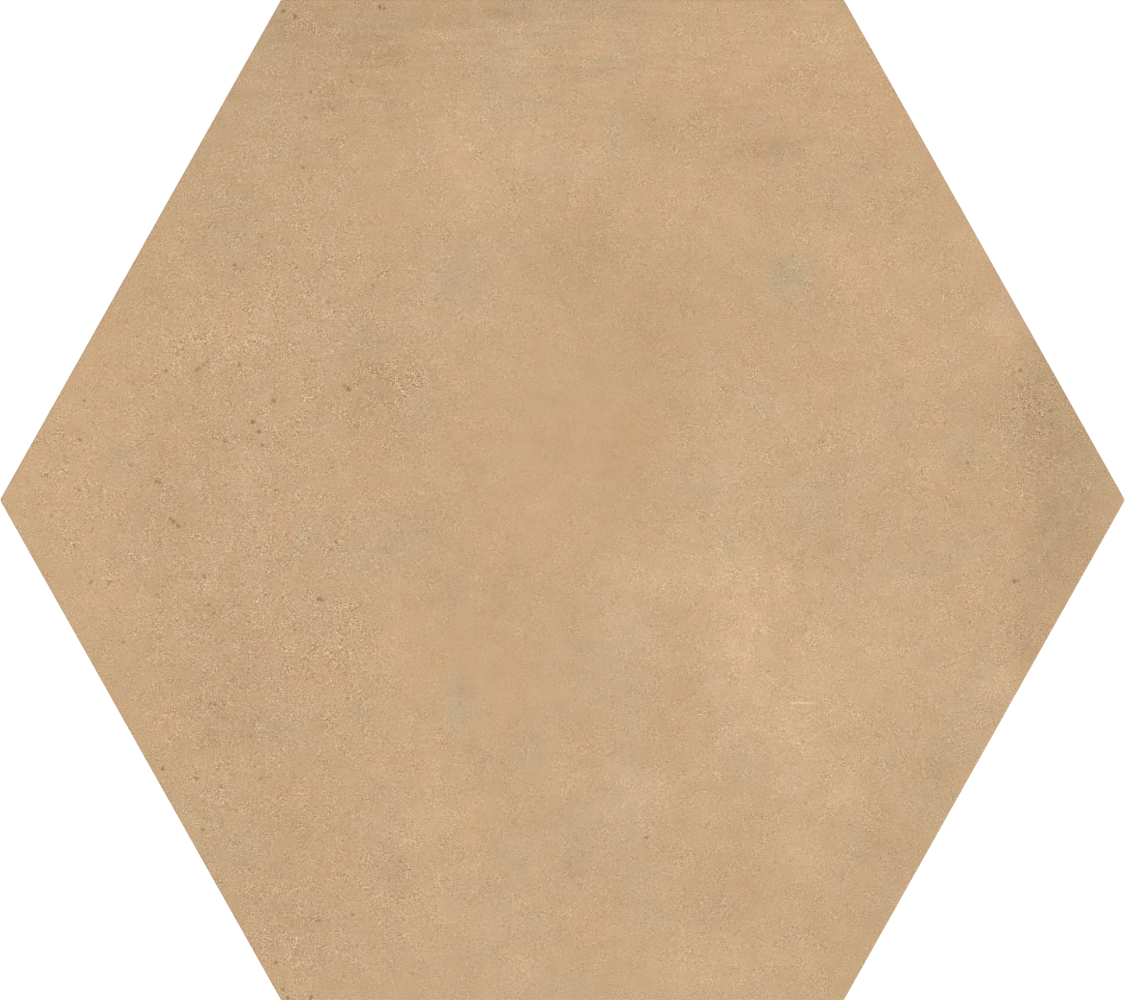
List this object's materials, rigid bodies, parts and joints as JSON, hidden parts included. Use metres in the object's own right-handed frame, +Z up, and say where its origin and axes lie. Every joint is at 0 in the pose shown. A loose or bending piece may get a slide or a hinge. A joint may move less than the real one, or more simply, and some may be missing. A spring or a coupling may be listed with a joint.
{
  "type": "hexagon floor tile",
  "caption": "Hexagonal pressed floor tile with a flat mottled matt face, a small rounded arris and a ribbed back that keys into an adhesive bed.",
  "frame": {"origin": "middle of the back, on the crest of the ribs, under the centre of the hexagon", "axes": "+X from corner to corner, +Y from flat to flat, +Z up through the face, which is up as the tile lies on a floor"},
  "size_m": [0.2898, 0.258, 0.009],
  "materials": {
    "fired_porcelain": "matt, cement look"
  },
  "bodies": {
    "root": {"hexagon_tile": "fired_porcelain"}
  },
  "joints": []
}
